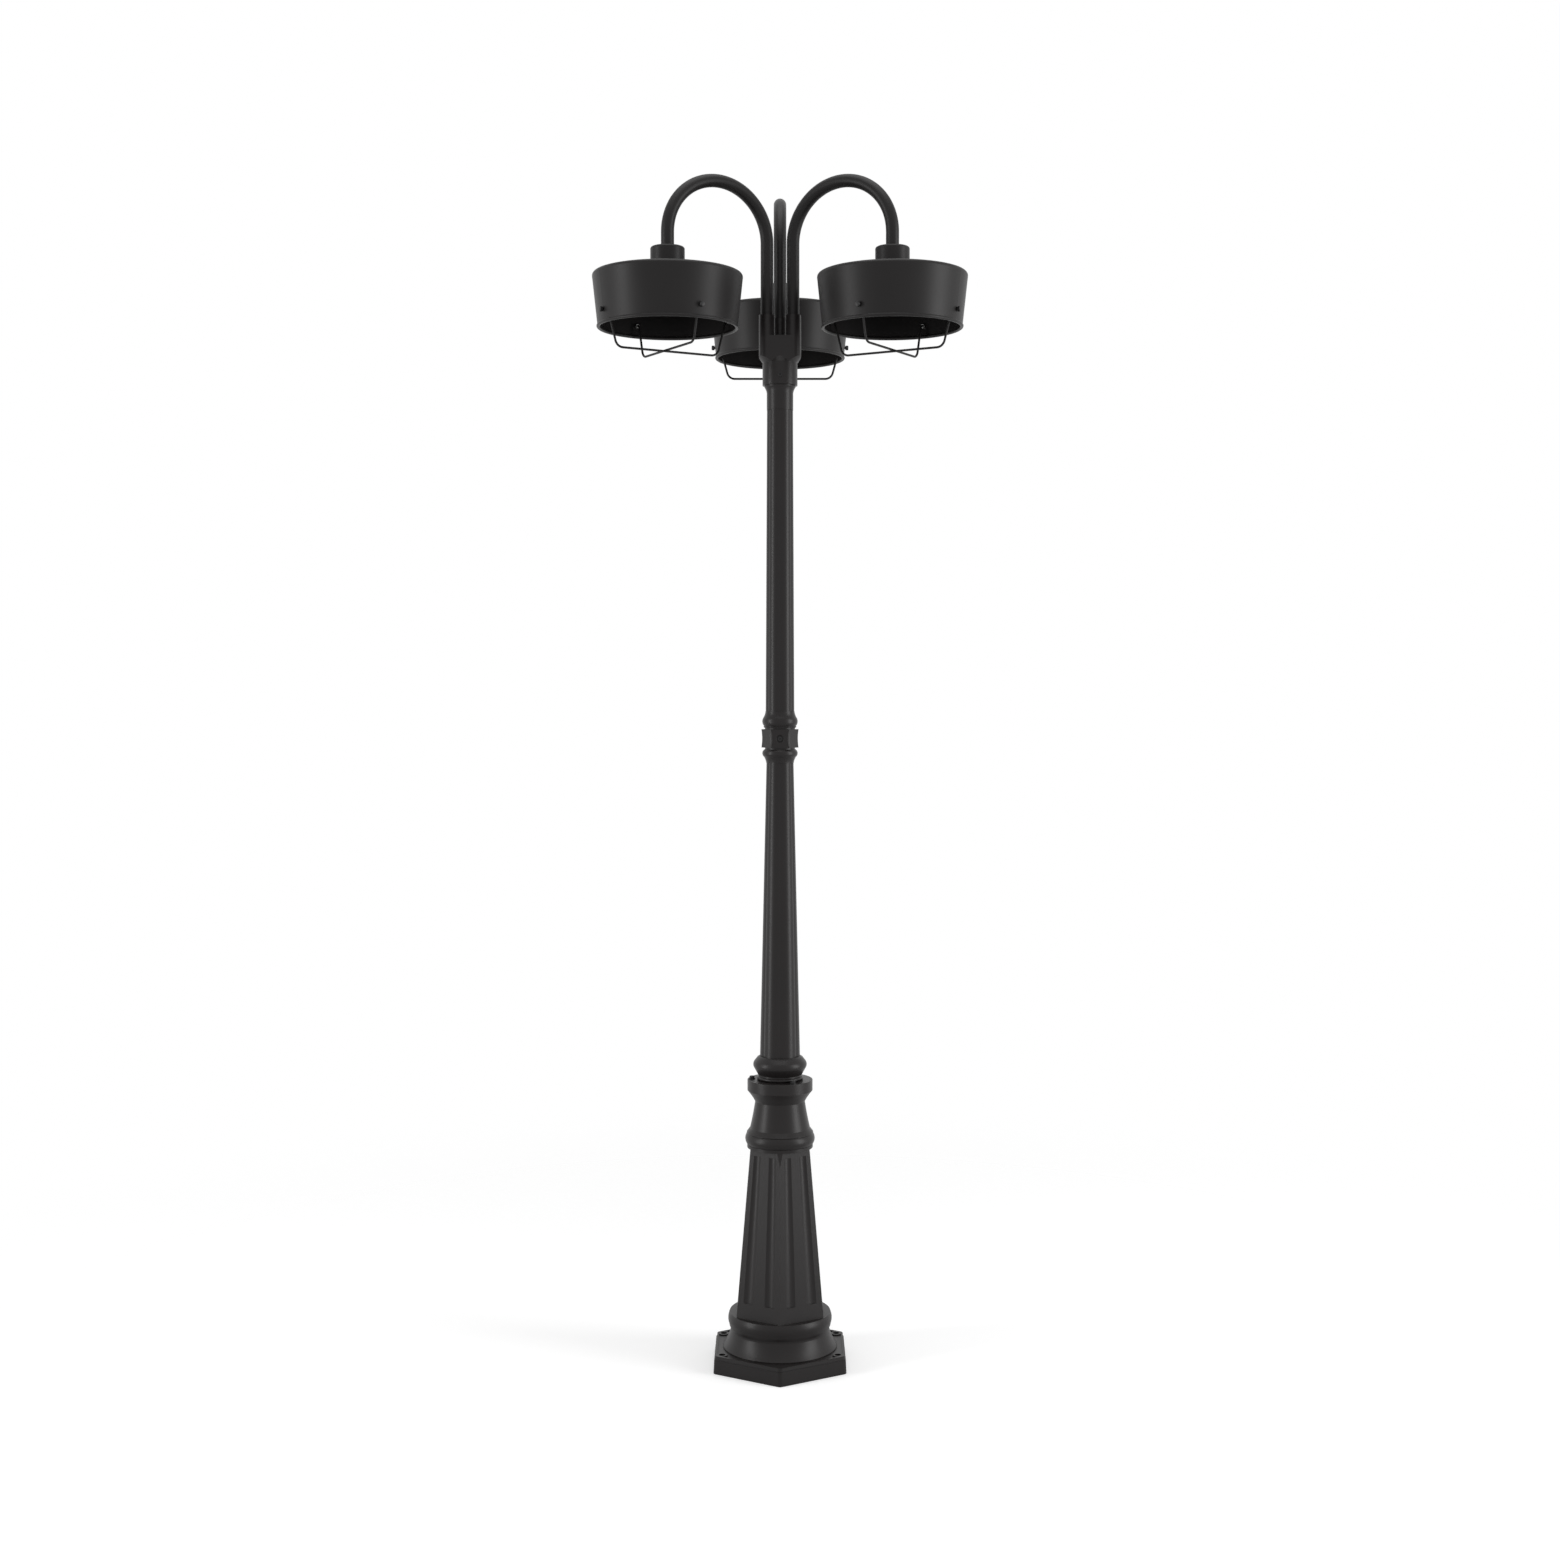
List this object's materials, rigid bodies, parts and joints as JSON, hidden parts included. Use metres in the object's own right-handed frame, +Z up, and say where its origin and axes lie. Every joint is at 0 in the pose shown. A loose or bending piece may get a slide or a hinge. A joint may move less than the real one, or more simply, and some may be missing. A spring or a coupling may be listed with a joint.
{
  "type": "triple head lamp post",
  "caption": "Tall outdoor lamp post: fluted hexagonal pedestal, lobed shaft, gooseneck arms on a hub, and wide drum shades that face down, each with a crossed wire guard.",
  "frame": {"origin": "on the ground, at the centre of the four anchor holes, on the post's axis", "axes": "+Z up along the post; -Y is the front, where a corner of the hexagonal base points; one arm points to +Y and two to the front left and right"},
  "size_m": [0.6684, 0.6147, 2.193],
  "materials": {
    "black_casting": "satin black powder coat on cast aluminium",
    "black_sheet": "satin black powder coat on steel",
    "black_wire": "black painted steel wire",
    "black_screw": "blackened steel",
    "zinc_steel": "zinc plated",
    "brass": "bright brass",
    "porcelain": "glazed porcelain",
    "phenolic": "black phenolic",
    "wire_jacket": "black PVC",
    "bulb_glass": "frosted glass",
    "bulb_cap": "spun aluminium"
  },
  "bodies": {
    "post": {"base_pedestal": "black_casting", "flange_screws": "black_screw", "earth_screw": "brass", "lower_shaft": "black_casting", "joint_nipple": "zinc_steel", "coupling_collar": "black_casting", "coupling_set_screws": "black_screw", "upper_shaft": "black_casting"},
    "arm_cluster": {"arm_hub": "black_casting", "hub_set_screws": "black_screw", "terminal_block": "phenolic", "post_lead": "wire_jacket", "arm_bushings": "zinc_steel", "stem_nipples": "zinc_steel", "stem_locknuts": "zinc_steel", "holder_contacts": "brass", "guard_nuts": "black_screw", "arm_left": "black_sheet", "arm_lead_left": "wire_jacket", "socket_cup_left": "black_sheet", "shade_left": "black_sheet", "lampholder_left": "porcelain", "screw_shell_left": "brass", "shade_ring_left": "phenolic", "guard_left": "black_wire", "arm_right": "black_sheet", "arm_lead_right": "wire_jacket", "socket_cup_right": "black_sheet", "shade_right": "black_sheet", "lampholder_right": "porcelain", "screw_shell_right": "brass", "shade_ring_right": "phenolic", "guard_right": "black_wire", "arm_back": "black_sheet", "arm_lead_back": "wire_jacket", "socket_cup_back": "black_sheet", "shade_back": "black_sheet", "lampholder_back": "porcelain", "screw_shell_back": "brass", "shade_ring_back": "phenolic", "guard_back": "black_wire"},
    "bulb_left": {"bulb_glass_left": "bulb_glass", "bulb_cap_left": "bulb_cap"},
    "knob_left_1": {"guard_knob_left_1": "black_screw"},
    "knob_left_2": {"guard_knob_left_2": "black_screw"},
    "knob_left_3": {"guard_knob_left_3": "black_screw"},
    "knob_left_4": {"guard_knob_left_4": "black_screw"},
    "bulb_right": {"bulb_glass_right": "bulb_glass", "bulb_cap_right": "bulb_cap"},
    "knob_right_1": {"guard_knob_right_1": "black_screw"},
    "knob_right_2": {"guard_knob_right_2": "black_screw"},
    "knob_right_3": {"guard_knob_right_3": "black_screw"},
    "knob_right_4": {"guard_knob_right_4": "black_screw"},
    "bulb_back": {"bulb_glass_back": "bulb_glass", "bulb_cap_back": "bulb_cap"},
    "knob_back_1": {"guard_knob_back_1": "black_screw"},
    "knob_back_2": {"guard_knob_back_2": "black_screw"},
    "knob_back_3": {"guard_knob_back_3": "black_screw"},
    "knob_back_4": {"guard_knob_back_4": "black_screw"}
  },
  "joints": [
    {"name": "arms_turn", "type": "hinge", "parent": "post", "child": "arm_cluster", "pos_m": [0, 0, 1.825], "axis": [0, 0, 1], "range_deg": [-180, 180]},
    {"name": "bulb_left_screws", "type": "hinge", "parent": "arm_cluster", "child": "bulb_left", "pos_m": [-0.20005, -0.1155, 2], "axis": [0, 0, 1], "continuous": true},
    {"name": "knob_left_1_turns", "type": "hinge", "parent": "arm_cluster", "child": "knob_left_1", "pos_m": [-0.31263, -0.1805, 1.932], "axis": [-0.866, -0.5, 0], "continuous": true},
    {"name": "knob_left_2_turns", "type": "hinge", "parent": "arm_cluster", "child": "knob_left_2", "pos_m": [-0.13505, -0.22808, 1.932], "axis": [0.5, -0.866, 0], "continuous": true},
    {"name": "knob_left_3_turns", "type": "hinge", "parent": "arm_cluster", "child": "knob_left_3", "pos_m": [-0.08747, -0.0505, 1.932], "axis": [0.866, 0.5, 0], "continuous": true},
    {"name": "knob_left_4_turns", "type": "hinge", "parent": "arm_cluster", "child": "knob_left_4", "pos_m": [-0.26505, -0.00292, 1.932], "axis": [-0.5, 0.866, 0], "continuous": true},
    {"name": "bulb_right_screws", "type": "hinge", "parent": "arm_cluster", "child": "bulb_right", "pos_m": [0.20005, -0.1155, 2], "axis": [0, 0, 1], "continuous": true},
    {"name": "knob_right_1_turns", "type": "hinge", "parent": "arm_cluster", "child": "knob_right_1", "pos_m": [0.31263, -0.1805, 1.932], "axis": [0.866, -0.5, 0], "continuous": true},
    {"name": "knob_right_2_turns", "type": "hinge", "parent": "arm_cluster", "child": "knob_right_2", "pos_m": [0.26505, -0.00292, 1.932], "axis": [0.5, 0.866, 0], "continuous": true},
    {"name": "knob_right_3_turns", "type": "hinge", "parent": "arm_cluster", "child": "knob_right_3", "pos_m": [0.08747, -0.0505, 1.932], "axis": [-0.866, 0.5, 0], "continuous": true},
    {"name": "knob_right_4_turns", "type": "hinge", "parent": "arm_cluster", "child": "knob_right_4", "pos_m": [0.13505, -0.22808, 1.932], "axis": [-0.5, -0.866, 0], "continuous": true},
    {"name": "bulb_back_screws", "type": "hinge", "parent": "arm_cluster", "child": "bulb_back", "pos_m": [0, 0.231, 2], "axis": [0, 0, 1], "continuous": true},
    {"name": "knob_back_1_turns", "type": "hinge", "parent": "arm_cluster", "child": "knob_back_1", "pos_m": [0, 0.361, 1.932], "axis": [0, 1, 0], "continuous": true},
    {"name": "knob_back_2_turns", "type": "hinge", "parent": "arm_cluster", "child": "knob_back_2", "pos_m": [-0.13, 0.231, 1.932], "axis": [-1, 0, 0], "continuous": true},
    {"name": "knob_back_3_turns", "type": "hinge", "parent": "arm_cluster", "child": "knob_back_3", "pos_m": [0, 0.101, 1.932], "axis": [0, -1, 0], "continuous": true},
    {"name": "knob_back_4_turns", "type": "hinge", "parent": "arm_cluster", "child": "knob_back_4", "pos_m": [0.13, 0.231, 1.932], "axis": [1, 0, 0], "continuous": true}
  ]
}
